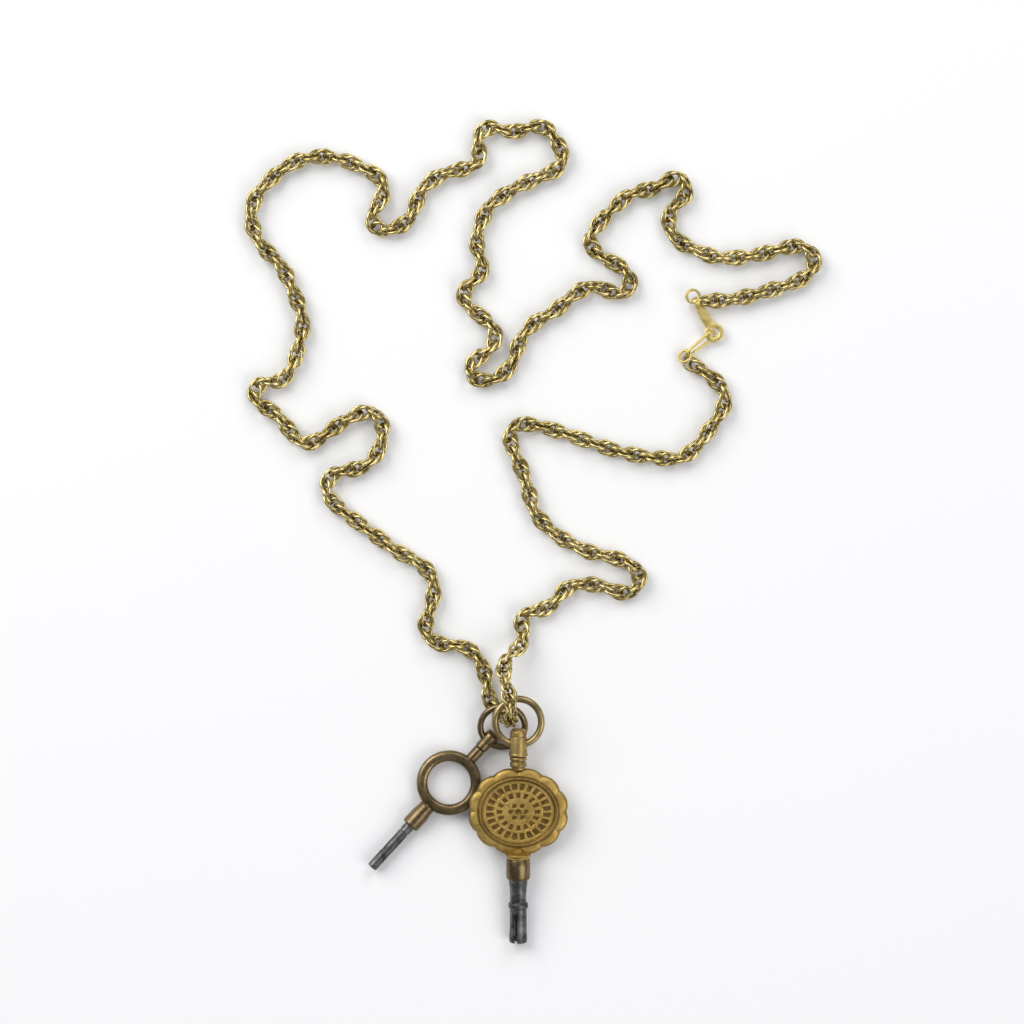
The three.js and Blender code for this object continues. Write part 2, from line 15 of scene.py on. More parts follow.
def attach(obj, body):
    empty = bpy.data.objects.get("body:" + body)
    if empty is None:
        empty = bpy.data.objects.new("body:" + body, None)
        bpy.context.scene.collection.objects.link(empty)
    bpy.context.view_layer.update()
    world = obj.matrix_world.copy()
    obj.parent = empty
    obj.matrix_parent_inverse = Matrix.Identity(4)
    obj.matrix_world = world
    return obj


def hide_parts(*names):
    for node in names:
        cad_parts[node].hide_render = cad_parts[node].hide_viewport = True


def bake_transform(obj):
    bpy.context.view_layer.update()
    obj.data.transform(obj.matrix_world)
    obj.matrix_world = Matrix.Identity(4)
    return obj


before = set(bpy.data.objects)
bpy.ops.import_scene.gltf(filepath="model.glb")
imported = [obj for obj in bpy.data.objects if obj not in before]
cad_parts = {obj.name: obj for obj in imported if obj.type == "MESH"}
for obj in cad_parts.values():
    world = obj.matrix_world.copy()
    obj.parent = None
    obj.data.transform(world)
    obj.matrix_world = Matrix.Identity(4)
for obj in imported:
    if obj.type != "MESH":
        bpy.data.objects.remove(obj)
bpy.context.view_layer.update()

MM = 0.001

# ---- Driving dimensions -----------------------------------------------------------------------
# Pivots, headings and tilts are the CAD's own, and so are most sizes. A wire is given by its radius.

ROPE_HEIGHT = 1.55
LINK_HALF_LENGTH = 1.7  # to the middle of the wire, along the rope
LINK_HALF_WIDTH = 1.29
LINK_WIRE = 0.3
LINK_PITCH = 1.36
LINK_TURN = 46.0  # degrees from one link to the next, about
LINK_WOBBLE = 0.05  # radians that a link may stray from its place
LINK_STEPS = 32  # points round a link
LINK_SIDES = 9  # points round its wire
INNER_SHADE_RADIUS = 0.75  # painted shade darkens links nearer the rope's middle than this
INNER_SHADE_FADE = 0.8
FIRST_LINK_BEFORE = 0.98  # the first link hangs in the tag's ring, this far before the route
ROUTE_STEPS = 24  # points of the smooth line for each point of the route
HEADING_REACH = 6  # a link's heading is taken over this many line points on each side
BLEND_REACH = 3.0  # meant as the bend distance on each side of a fold; a step is worked out from it, unused

KEY_1_PIVOT = (-2.5, -39.7, 5.1)
KEY_1_TILT = 5.25
BOW_1_TILT = 4
BOW_1_RADIUS = 4.3
BOW_1_WIRE = 0.65

KEY_2_PIVOT = (-8.2, -39.3, 1.7)
KEY_2_HEADING = -42.5
BOW_2_ROLL = 15
BOW_2_TILT = 14
BOW_2_RADIUS = 4.15
BOW_2_WIRE = 0.6
BOW_SEAT = 0.16

TAG_HOLE = (34.2, 37.0, 1.5)
TAG_HEADING = 30.6
TAG_EYE_AT = 6.7
HOOK_HEADING = 38.3
HOOK_LENGTH = 6.6
HOOK_HALF_HEIGHT = 1.0
HOOK_HALF_SPREAD = 0.65
CLASP_WIRE = 0.25
END_RING_RADIUS = 1.2

VIEW_CENTRE = (-3.66, 3.47)
VIEW_WIDTH = 192.1  # how much of the table the picture spans
CAMERA_HEIGHT = 620.0
SENSOR_WIDTH = 36.0
TABLE_HALF_SIDE = 3000.0

# ---- The rope's route -------------------------------------------------------------------------
# The same points as the CAD's, in metres, from the tag round the loop to the hook.
# Each stretch runs from one fold line to the next and lies on one body.
# fold is the line where it starts: an axis letter and the place of the line on that axis.

STRETCHES = [
    {"body": "upper", "nodes": ["chain_tag_end"],
     "points": [(0.033, 0.043), (0.0365, 0.043)]},
    {"body": "right_tip", "nodes": ["chain_tip_lower", "chain_tip_upper"], "fold": ("x", 0.039),
     "points": [(0.039, 0.0435), (0.0415, 0.044), (0.0445, 0.045), (0.047, 0.0455),
                (0.0495, 0.0465), (0.052, 0.0477), (0.0533, 0.0502), (0.052, 0.0529),
                (0.0493, 0.0534), (0.046, 0.0525), (0.043, 0.0517)]},
    {"body": "upper", "nodes": ["chain_shoulder"], "fold": ("x", 0.039),
     "points": [(0.039, 0.051), (0.0365, 0.051), (0.0345, 0.051), (0.032, 0.052),
                (0.0295, 0.053), (0.0275, 0.054), (0.026, 0.056), (0.0255, 0.058)]},
    {"body": "right_arch", "nodes": ["chain_right_arch_outer", "chain_right_arch_inner"],
     "fold": ("y", 0.060),
     "points": [(0.026, 0.060), (0.028, 0.0617), (0.0294, 0.0636), (0.0284, 0.0659),
                (0.026, 0.066), (0.024, 0.0645), (0.022, 0.0637), (0.0202, 0.0635),
                (0.0185, 0.063), (0.0165, 0.0615)]},
    {"body": "upper", "nodes": ["chain_bend_upper", "chain_bend_lower", "chain_slope"],
     "fold": ("y", 0.060),
     "points": [(0.015, 0.060), (0.013, 0.058), (0.0115, 0.056), (0.0107, 0.0543),
                (0.0115, 0.0525), (0.0135, 0.051), (0.0155, 0.050), (0.0175, 0.049),
                (0.0187, 0.047), (0.0182, 0.045), (0.0165, 0.044), (0.0145, 0.0447),
                (0.0125, 0.0457), (0.0105, 0.0457), (0.0085, 0.0445), (0.0065, 0.043),
                (0.005, 0.0415), (0.0025, 0.040), (0.0005, 0.039)]},
    {"body": "middle", "nodes": ["chain_loop_outer", "chain_loop_inner"], "fold": ("y", 0.037),
     "points": [(-0.0012, 0.037), (-0.0025, 0.035), (-0.003, 0.0325), (-0.0043, 0.030),
                (-0.0065, 0.0284), (-0.0092, 0.0279), (-0.0113, 0.0287), (-0.0117, 0.0308),
                (-0.0102, 0.0323), (-0.0082, 0.0332), (-0.007, 0.035)]},
    {"body": "upper", "nodes": ["chain_zigzag_lower", "chain_zigzag_upper"], "fold": ("y", 0.037),
     "points": [(-0.0065, 0.037), (-0.008, 0.039), (-0.010, 0.0405), (-0.012, 0.042),
                (-0.013, 0.044), (-0.012, 0.046), (-0.010, 0.0472), (-0.009, 0.049),
                (-0.0095, 0.051), (-0.0103, 0.0527), (-0.0102, 0.055), (-0.0095, 0.0575)]},
    {"body": "middle_arch", "nodes": ["chain_middle_arch_right"], "fold": ("y", 0.060),
     "points": [(-0.0085, 0.060), (-0.007, 0.0615), (-0.0055, 0.0625), (-0.0025, 0.0645),
                (0.0, 0.0655), (0.0025, 0.0665), (0.005, 0.0675), (0.006, 0.0695)]},
    {"body": "middle_crown", "nodes": ["chain_middle_crown_right", "chain_middle_crown_left"],
     "fold": ("y", 0.0715),
     "points": [(0.0055, 0.0715), (0.0045, 0.073), (0.0035, 0.075), (0.0015, 0.0757),
                (-0.0005, 0.0755), (-0.0025, 0.0746), (-0.0045, 0.0746), (-0.0065, 0.0753),
                (-0.0085, 0.0755), (-0.010, 0.074)]},
    {"body": "middle_arch", "nodes": ["chain_middle_arch_left"], "fold": ("y", 0.0715),
     "points": [(-0.010, 0.0715), (-0.0095, 0.0695), (-0.011, 0.068), (-0.0135, 0.0675),
                (-0.016, 0.067), (-0.018, 0.066), (-0.020, 0.0645), (-0.0212, 0.0625)]},
    {"body": "upper", "nodes": ["chain_valley"], "fold": ("y", 0.060),
     "points": [(-0.022, 0.060), (-0.023, 0.058), (-0.0245, 0.057), (-0.027, 0.056),
                (-0.029, 0.0565), (-0.030, 0.058)]},
    {"body": "left_arch", "nodes": ["chain_left_arch_inner", "chain_left_arch_outer"],
     "fold": ("y", 0.060),
     "points": [(-0.0295, 0.060), (-0.028, 0.062), (-0.0275, 0.064), (-0.0283, 0.066),
                (-0.0305, 0.0675), (-0.033, 0.0685), (-0.0355, 0.0695), (-0.038, 0.070),
                (-0.0405, 0.070), (-0.043, 0.0695), (-0.0455, 0.0685), (-0.0475, 0.067),
                (-0.0495, 0.065), (-0.0515, 0.063)]},
    {"body": "upper", "nodes": ["chain_left_side_upper", "chain_left_side_lower"],
     "fold": ("y", 0.060),
     "points": [(-0.0525, 0.060), (-0.0525, 0.0575), (-0.0515, 0.055), (-0.050, 0.0525),
                (-0.048, 0.051), (-0.0465, 0.049), (-0.0455, 0.047), (-0.0445, 0.0445),
                (-0.0435, 0.042), (-0.0427, 0.0395)]},
    {"body": "middle", "nodes": ["chain_left_corner", "chain_left_dip"], "fold": ("y", 0.037),
     "points": [(-0.043, 0.037), (-0.0435, 0.035), (-0.044, 0.0325), (-0.045, 0.0305),
                (-0.046, 0.0285), (-0.0477, 0.0277), (-0.0498, 0.028), (-0.0518, 0.0267),
                (-0.052, 0.0248), (-0.0505, 0.0233), (-0.0483, 0.0223), (-0.0463, 0.0205),
                (-0.045, 0.018), (-0.043, 0.0163), (-0.041, 0.0163), (-0.0385, 0.018),
                (-0.036, 0.020)]},
    {"body": "left_lobe", "nodes": ["chain_left_lobe"], "fold": ("x", -0.0335),
     "points": [(-0.0335, 0.0213), (-0.031, 0.0225), (-0.0288, 0.0217), (-0.0277, 0.0195),
                (-0.028, 0.0165), (-0.029, 0.014), (-0.031, 0.012)]},
    {"body": "middle", "nodes": ["chain_left_knee"], "fold": ("x", -0.0335),
     "points": [(-0.0335, 0.0113), (-0.0355, 0.0113), (-0.0377, 0.0103)]},
    {"body": "diagonals", "nodes": ["chain_left_diagonal_upper", "chain_left_diagonal_lower"],
     "fold": ("y", 0.008),
     "points": [(-0.0387, 0.008), (-0.038, 0.0062), (-0.036, 0.004), (-0.0325, 0.0015),
                (-0.029, -0.001), (-0.026, -0.0035), (-0.023, -0.005), (-0.0207, -0.0062),
                (-0.019, -0.008), (-0.018, -0.0105), (-0.0185, -0.013), (-0.0192, -0.0155)]},
    {"body": "legs", "nodes": ["chain_left_leg", "chain_saddle", "chain_right_leg"],
     "fold": ("y", -0.0175),
     "points": [(-0.020, -0.0175), (-0.0197, -0.0195), (-0.0182, -0.021), (-0.016, -0.0215),
                (-0.013, -0.0215), (-0.011, -0.0227), (-0.0095, -0.0245), (-0.0086, -0.027),
                (-0.0082, -0.0295), (-0.008, -0.0315), (-0.0071, -0.0329),
                (-0.0058, -0.0342, 0.0016), (-0.0046, -0.0351, 0.0027),
                (-0.004, -0.0354, 0.0047), (-0.0039, -0.0349, 0.007),
                (-0.0039, -0.0332, 0.0086), (-0.004, -0.0312, 0.0088),
                (-0.0045, -0.0293, 0.0083), (-0.005, -0.0274, 0.0073),
                (-0.0053, -0.0257, 0.0061), (-0.0047, -0.0239, 0.005),
                (-0.0032, -0.0225, 0.0039), (-0.0017, -0.0212, 0.0028),
                (-0.0013, -0.0195, 0.0019)]},
    {"body": "diagonals", "nodes": ["chain_right_step"], "fold": ("y", -0.0175),
     "points": [(-0.002, -0.0175), (-0.0017, -0.016), (-0.0003, -0.015), (0.0015, -0.015),
                (0.0035, -0.0143), (0.005, -0.0125), (0.0063, -0.0108), (0.0085, -0.010),
                (0.0105, -0.010)]},
    {"body": "right_lobe", "nodes": ["chain_right_lobe"], "fold": ("x", 0.013),
     "points": [(0.013, -0.0103), (0.015, -0.011), (0.0175, -0.012), (0.0195, -0.011),
                (0.0205, -0.009), (0.0195, -0.007), (0.0175, -0.0057), (0.015, -0.005)]},
    {"body": "diagonals", "nodes": ["chain_right_diagonal"], "fold": ("x", 0.013),
     "points": [(0.013, -0.0045), (0.0105, -0.004), (0.0085, -0.003), (0.006, -0.0017),
                (0.004, -0.0003), (0.002, 0.0015), (0.0005, 0.0035), (-0.0002, 0.006)]},
    {"body": "middle", "fold": ("y", 0.008),
     "nodes": ["chain_right_rise", "chain_right_traverse", "chain_right_climb", "chain_hook_end"],
     "points": [(-0.0007, 0.008), (-0.0015, 0.0105), (-0.0025, 0.013), (-0.0037, 0.0155),
                (-0.0043, 0.018), (-0.0033, 0.0197), (-0.0015, 0.020), (0.001, 0.0197),
                (0.004, 0.0189), (0.0075, 0.0177), (0.011, 0.0165), (0.014, 0.0155),
                (0.017, 0.0145), (0.0205, 0.014), (0.024, 0.0135), (0.027, 0.0133),
                (0.029, 0.014), (0.031, 0.0157), (0.0325, 0.0177), (0.034, 0.020),
                (0.0355, 0.022), (0.0365, 0.0243), (0.0357, 0.0267), (0.034, 0.0285),
                (0.032, 0.030), (0.030, 0.0312)]},
]

# ---- Mesh helpers -----------------------------------------------------------------------------

SHARP_ANGLE = 32  # degrees between two faces from which their edge stays sharp


class Shape:
    """Vertices in millimetres and the faces between them, which grows piece by piece.
    shade_and_patina says for each vertex, from 0 to 1, how much of the dark tarnish colour lies
    there: painted shade inside the rope, real patina on the medallion. It may stay empty."""

    def __init__(self):
        self.vertices = []
        self.faces = []
        self.shade_and_patina = []

    def add(self, vertices, faces, shade_and_patina=()):
        start = len(self.vertices)
        self.vertices.extend(vertices)
        self.shade_and_patina.extend(shade_and_patina)
        self.faces.extend(tuple(start + corner for corner in face) for face in faces)

    def made(self, name, place=Matrix.Identity(4)):
        """A mesh object of the shape, moved by place and turned into metres."""
        mesh = bpy.data.meshes.new(name)
        mesh.from_pydata([(place @ Vector(v)) * MM for v in self.vertices], [], self.faces)
        if self.shade_and_patina:
            mesh.attributes.new("shade_and_patina", "FLOAT", "POINT").data.foreach_set("value", self.shade_and_patina)
        mesh.validate()
        mesh.update()
        piece = bpy.data.objects.new(name, mesh)
        bpy.context.scene.collection.objects.link(piece)
        return piece


def step_up(value, edge, width):
    """0 below the edge and 1 above it, with a smooth slope of that width between."""
    t = min(max((value - edge) / width + 0.5, 0), 1)
    return t * t * (3 - 2 * t)


def grid_faces(rows, columns, close_rows=True, close_columns=True):
    """Quads of a grid of rows of vertices. A closed grid joins its last row or column to its first."""
    faces = []
    for i in range(rows if close_rows else rows - 1):
        for j in range(columns if close_columns else columns - 1):
            i2, j2 = (i + 1) % rows, (j + 1) % columns
            faces.append((i * columns + j, i2 * columns + j, i2 * columns + j2, i * columns + j2))
    return faces


def rounded(outline, fillet, arc_steps=3):
    """An outline of (radius, y) pairs with each inner corner turned into a small arc."""
    points = [outline[0]]
    for before, corner, after in zip(outline, outline[1:], outline[2:]):
        here = Vector(corner)
        back = Vector(before) - here
        ahead = Vector(after) - here
        reach = min(fillet, 0.45 * back.length, 0.45 * ahead.length)
        start = here + back.normalized() * reach
        end = here + ahead.normalized() * reach
        for k in range(arc_steps + 1):
            t = k / arc_steps
            points.append(tuple(start.lerp(here, t).lerp(here.lerp(end, t), t)))
    points.append(outline[-1])
    return points


def turned(outline, sides=72, fillet=0.08):
    """A round piece about the Y axis. The outline starts and ends on the axis."""
    shape = Shape()
    profile = rounded(outline, fillet)
    rim = profile[1:-1]
    vertices = []
    for k in range(sides):
        angle = 2 * math.pi * k / sides
        vertices.extend((r * math.cos(angle), y, r * math.sin(angle)) for r, y in rim)
    shape.add(vertices, grid_faces(sides, len(rim), close_columns=False))
    for (_, y), column, flip in ((profile[0], 0, False), (profile[-1], len(rim) - 1, True)):
        shape.vertices.append((0, y, 0))
        middle = len(shape.vertices) - 1
        for k in range(sides):
            a = k * len(rim) + column
            b = ((k + 1) % sides) * len(rim) + column
            shape.faces.append((middle, a, b) if flip else (middle, b, a))
    return shape


def swept(points, radius, sides=14, closed=False):
    """A wire of round section along points, with domed ends unless it is closed."""
    shape = Shape()
    path = [Vector(p) for p in points]
    count = len(path)
    side = None
    rows = []
    for i, here in enumerate(path):
        ahead = path[(i + 1) % count] if closed or i + 1 < count else here
        behind = path[i - 1] if closed or i > 0 else here
        along = (ahead - behind).normalized()
        if side is None:
            side = along.orthogonal().normalized()
        side = (side - along * side.dot(along)).normalized()
        rows.append((here, along, side, radius))
    if not closed:
        rows = domed(rows, radius)
    vertices = []
    for here, along, out, size in rows:
        up = along.cross(out)
        for k in range(sides):
            angle = 2 * math.pi * k / sides
            vertices.append(here + out * size * math.cos(angle) + up * size * math.sin(angle))
    shape.add(vertices, grid_faces(len(rows), sides, close_rows=closed))
    if not closed:
        shape.faces.append(tuple(range(sides)))
        shape.faces.append(tuple(reversed(range((len(rows) - 1) * sides, len(rows) * sides))))
    shape.faces = [tuple(reversed(face)) for face in shape.faces]
    return shape


def domed(rows, radius, steps=3):
    """The rows of a wire with its two ends rounded off, up to a small flat face."""
    first, last = rows[0], rows[-1]
    angles = [math.pi / 2 * k / (steps + 0.4) for k in range(1, steps + 1)]
    caps = [(radius * math.sin(a), radius * math.cos(a)) for a in angles]
    head = [(first[0] - first[1] * reach, first[1], first[2], size) for reach, size in caps]
    tail = [(last[0] + last[1] * reach, last[1], last[2], size) for reach, size in caps]
    return head[::-1] + rows + tail


def ring_points(radius, steps, centre=(0, 0, 0)):
    """Points round a circle in the XY plane."""
    points = []
    for k in range(steps):
        a = 2 * math.pi * k / steps
        points.append(Vector(centre) + Vector((radius * math.cos(a), radius * math.sin(a), 0)))
    return points


def box_shape(low, high):
    """A box between two corners, used only to cut other pieces."""
    shape = Shape()
    x_sides, y_sides, z_sides = zip(low, high)
    corners = [(x, y, z) for x in x_sides for y in y_sides for z in z_sides]
    faces = [(0, 1, 3, 2), (4, 6, 7, 5), (0, 4, 5, 1), (2, 3, 7, 6), (0, 2, 6, 4), (1, 5, 7, 3)]
    shape.add(corners, faces)
    return shape


def combined(piece, operation, *tools):
    """piece with the tools cut out of it or joined to it. The tools are used up."""
    for tool in tools:
        modifier = piece.modifiers.new(operation, "BOOLEAN")
        modifier.operation = operation
        modifier.solver = "EXACT"
        modifier.object = tool
    graph = bpy.context.evaluated_depsgraph_get()
    result = bpy.data.meshes.new_from_object(piece.evaluated_get(graph))
    piece.modifiers.clear()
    old = piece.data
    piece.data = result
    result.name = piece.name
    bpy.data.meshes.remove(old)
    for tool in tools:
        bpy.data.objects.remove(tool)
    return piece


def finished(piece, material, sharp_angle):
    """piece shaded smooth between its sharp edges, with its material."""
    piece.data.materials.clear()
    piece.data.materials.append(material)
    for face in piece.data.polygons:
        face.use_smooth = True
    piece.data.set_sharp_from_angle(angle=math.radians(sharp_angle))
    return piece


def turn(axis, degrees):
    return Matrix.Rotation(math.radians(degrees), 4, axis)


def shift(x, y, z):
    return Matrix.Translation((x, y, z))


# ---- Materials --------------------------------------------------------------------------------


def metal(name, light, dark, tarnish_and_shade, roughness, grain, bump):
    """A worn metal. light and dark are two tones that drift over the piece. tarnish_and_shade is the
    dark colour laid in its creases and inside the rope as painted shade, and in patches and the
    medallion's hollows as real tarnish. roughness is a (smooth, rough) pair. grain is the size in mm
    of its small marks, and bump the strength of its relief."""
    material = bpy.data.materials.new(name)
    material.use_nodes = True
    nodes, links = material.node_tree.nodes, material.node_tree.links
    shader = nodes["Principled BSDF"]
    shader.inputs["Metallic"].default_value = 1.0
    place = nodes.new("ShaderNodeTexCoord")

    def noise(size_mm, detail, distortion=0.0):
        node = nodes.new("ShaderNodeTexNoise")
        node.inputs["Scale"].default_value = 1 / (size_mm * MM)
        node.inputs["Detail"].default_value = detail
        node.inputs["Distortion"].default_value = distortion
        links.new(place.outputs["Object"], node.inputs["Vector"])
        return node

    def ramp(source, low, high, low_colour, high_colour):
        node = nodes.new("ShaderNodeValToRGB")
        node.color_ramp.elements[0].position = low
        node.color_ramp.elements[1].position = high
        node.color_ramp.elements[0].color = (*low_colour, 1)
        node.color_ramp.elements[1].color = (*high_colour, 1)
        links.new(source, node.inputs["Fac"])
        return node

    def larger(first, second):
        node = nodes.new("ShaderNodeMath")
        node.operation = "MAXIMUM"
        links.new(first, node.inputs[0])
        links.new(second, node.inputs[1])
        return node.outputs["Value"]

    def mixed(factor, first, second):
        node = nodes.new("ShaderNodeMix")
        node.data_type = "RGBA"
        links.new(factor, node.inputs["Factor"])
        links.new(first, node.inputs["A"])
        links.new(second, node.inputs["B"])
        return node.outputs["Result"]

    drift = noise(6 * grain, 4, 0.6)
    tone = ramp(drift.outputs["Fac"], 0.36, 0.64, dark, light)
    geometry = nodes.new("ShaderNodeNewGeometry")
    # painted shade: concave creases, found by Pointiness, get the dark tarnish colour
    painted_crevice_shade = ramp(geometry.outputs["Pointiness"], 0.42, 0.5, (1, 1, 1), (0, 0, 0))
    stain = noise(2.5 * grain, 5)
    patch = ramp(stain.outputs["Fac"], 0.55, 0.72, (0, 0, 0), (0.55, 0.55, 0.55))
    # the mesh attribute: painted shade inside the rope and real patina on the medallion
    shade_and_patina_input = nodes.new("ShaderNodeAttribute")
    shade_and_patina_input.attribute_name = "shade_and_patina"
    crevice_shade_and_stain = larger(painted_crevice_shade.outputs["Color"], patch.outputs["Color"])
    stain_and_shade_cover = larger(crevice_shade_and_stain, shade_and_patina_input.outputs["Fac"])

    half_clean = tuple((a + b) / 2 for a, b in zip(tarnish_and_shade, dark))
    # the dark colour: real tarnish in stain patches and the medallion, painted shade in creases and
    # inside the rope
    patina = ramp(noise(grain, 3).outputs["Fac"], 0.3, 0.7, tarnish_and_shade, half_clean)
    colour = mixed(stain_and_shade_cover, tone.outputs["Color"], patina.outputs["Color"])
    links.new(colour, shader.inputs["Base Color"])

    fine = noise(grain, 6)
    gloss = nodes.new("ShaderNodeMapRange")
    gloss.inputs["From Min"].default_value = 0.3
    gloss.inputs["From Max"].default_value = 0.7
    gloss.inputs["To Min"].default_value = roughness[0]
    gloss.inputs["To Max"].default_value = roughness[1]
    links.new(fine.outputs["Fac"], gloss.inputs["Value"])
    links.new(gloss.outputs["Result"], shader.inputs["Roughness"])

    relief = nodes.new("ShaderNodeBump")
    relief.inputs["Strength"].default_value = bump
    relief.inputs["Distance"].default_value = 0.05 * MM
    links.new(noise(0.5 * grain, 8).outputs["Fac"], relief.inputs["Height"])
    links.new(relief.outputs["Normal"], shader.inputs["Normal"])
    return material


def table_surface():
    """The table's nearly even white."""
    material = bpy.data.materials.new("table_white")
    material.use_nodes = True
    nodes, links = material.node_tree.nodes, material.node_tree.links
    shader = nodes["Principled BSDF"]
    shader.inputs["Roughness"].default_value = 0.7
    noise = nodes.new("ShaderNodeTexNoise")
    noise.inputs["Scale"].default_value = 40
    ramp = nodes.new("ShaderNodeValToRGB")
    ramp.color_ramp.elements[0].color = (0.94, 0.943, 0.95, 1)
    ramp.color_ramp.elements[1].color = (0.965, 0.968, 0.972, 1)
    links.new(noise.outputs["Fac"], ramp.inputs["Fac"])
    links.new(ramp.outputs["Color"], shader.inputs["Base Color"])
    return material


CHAIN_GOLD = metal("chain_gold", light=(0.74, 0.61, 0.275), dark=(0.52, 0.41, 0.145),
                   tarnish_and_shade=(0.15, 0.10, 0.03), roughness=(0.14, 0.28), grain=0.9, bump=0.05)
CLASP_GOLD = metal("clasp_gold", light=(0.85, 0.69, 0.26), dark=(0.66, 0.51, 0.16),
                   tarnish_and_shade=(0.22, 0.15, 0.05), roughness=(0.36, 0.5), grain=0.4, bump=0.12)
OCHRE_BRASS = metal("key_1_ochre_brass", light=(0.61, 0.425, 0.13), dark=(0.45, 0.30, 0.08),
                    tarnish_and_shade=(0.11, 0.06, 0.025), roughness=(0.4, 0.6), grain=0.45, bump=0.4)
POST_BRASS = metal("key_1_post_brass", light=(0.47, 0.34, 0.13), dark=(0.33, 0.235, 0.085),
                   tarnish_and_shade=(0.11, 0.06, 0.025), roughness=(0.34, 0.52), grain=0.45, bump=0.4)
BOW_BRASS = metal("bow_1_brown_brass", light=(0.46, 0.355, 0.17), dark=(0.3, 0.225, 0.1),
                  tarnish_and_shade=(0.09, 0.06, 0.03), roughness=(0.26, 0.42), grain=0.5, bump=0.2)
FERRULE_BRASS = metal("key_1_ferrule_brass", light=(0.24, 0.175, 0.085), dark=(0.15, 0.105, 0.05),
                      tarnish_and_shade=(0.07, 0.045, 0.025), roughness=(0.24, 0.4), grain=0.5, bump=0.25)
BRONZE_BRASS = metal("key_2_bronze_brass", light=(0.255, 0.185, 0.095), dark=(0.15, 0.108, 0.056),
                     tarnish_and_shade=(0.085, 0.06, 0.035), roughness=(0.24, 0.42), grain=0.9, bump=0.2)
WORN_STEEL = metal("worn_steel", light=(0.175, 0.175, 0.17), dark=(0.055, 0.055, 0.055),
                   tarnish_and_shade=(0.03, 0.028, 0.026), roughness=(0.3, 0.52), grain=0.3, bump=0.5)

# ---- Rope chain -------------------------------------------------------------------------------


def route_point(route, position):
    """The point on the smooth route, a cubic B-spline, at a position counted in route points."""
    i = min(int(position), len(route) - 2)
    t = position - i
    before = route[i - 1] if i > 0 else 2 * route[0] - route[1]
    beyond = route[i + 2] if i + 2 < len(route) else 2 * route[i + 1] - route[i]
    return (before * (1 - t) ** 3 + route[i] * (3 * t**3 - 6 * t**2 + 4)
            + route[i + 1] * (-3 * t**3 + 3 * t**2 + 3 * t + 1) + beyond * t**3) / 6


def rope_line():
    """The route as close points, the distance along it of each, and of each stretch's start."""
    route, starts = [], []
    for stretch in STRETCHES:
        starts.append(len(route))
        route.extend(Vector((*p[:2], p[2] if len(p) > 2 else ROPE_HEIGHT * MM))
                     for p in stretch["points"])
    count = ROUTE_STEPS * (len(route) - 1) + 1
    line = [route_point(route, k / ROUTE_STEPS) for k in range(count)]
    first = line[0] - (line[1] - line[0]).normalized() * FIRST_LINK_BEFORE * MM
    line.insert(0, first)
    reach = [0.0]
    for a, b in zip(line, line[1:]):
        reach.append(reach[-1] + (b - a).length)
    return line, reach, [reach[1 + ROUTE_STEPS * s] for s in starts]


def link_places(line, reach):
    """The distance, middle, direction and side of each link, spaced evenly along the line. The
    side starts upright and is carried along without twisting."""
    count = round(reach[-1] / (LINK_PITCH * MM))
    places = []
    side = Vector((0, 0, 1))
    i = 1
    for k in range(count + 1):
        along = reach[-1] * k / count
        while i < len(reach) - 1 and reach[i] < along:
            i += 1
        share = (along - reach[i - 1]) / (reach[i] - reach[i - 1])
        centre = line[i - 1].lerp(line[i], share)
        ahead = line[min(i + HEADING_REACH, len(line) - 1)]
        behind = line[max(i - 1 - HEADING_REACH, 0)]
        direction = (ahead - behind).normalized()
        side = (side - direction * side.dot(direction)).normalized()
        places.append((along, centre, direction, side))
    return places


def link(shape, centre, direction, normal, wobble):
    """One oval wire ring of the rope. Its plane holds the rope's direction, and normal stands on it."""
    across = normal.cross(direction)
    tilt = Matrix.Rotation(wobble.uniform(-LINK_WOBBLE, LINK_WOBBLE), 3, direction)
    lean = Matrix.Rotation(wobble.uniform(-LINK_WOBBLE, LINK_WOBBLE), 3, across)
    vertices, shade_and_patina = [], []
    for j in range(LINK_STEPS):
        a = 2 * math.pi * j / LINK_STEPS
        middle = (direction * LINK_HALF_LENGTH * math.cos(a)
                  + across * LINK_HALF_WIDTH * math.sin(a))
        out = (direction * LINK_HALF_WIDTH * math.cos(a)
               + across * LINK_HALF_LENGTH * math.sin(a)).normalized()
        for k in range(LINK_SIDES):
            b = 2 * math.pi * k / LINK_SIDES
            point = middle + out * LINK_WIRE * math.cos(b) + normal * LINK_WIRE * math.sin(b)
            from_axis = (point - direction * point.dot(direction)).length
            vertices.append(centre / MM + tilt @ lean @ point)
            # painted shade: wire nearer the rope's middle, shaded by the outer links, gets the dark
            # colour
            shade_and_patina.append(step_up(INNER_SHADE_RADIUS, from_axis, INNER_SHADE_FADE))
    shape.add(vertices, grid_faces(LINK_STEPS, LINK_SIDES), shade_and_patina)


def lies_past(stretch, index, place):
    """True if the stretch's points lie past the fold line at place on that axis."""
    return sum(p[index] for p in stretch["points"]) / len(stretch["points"]) > place


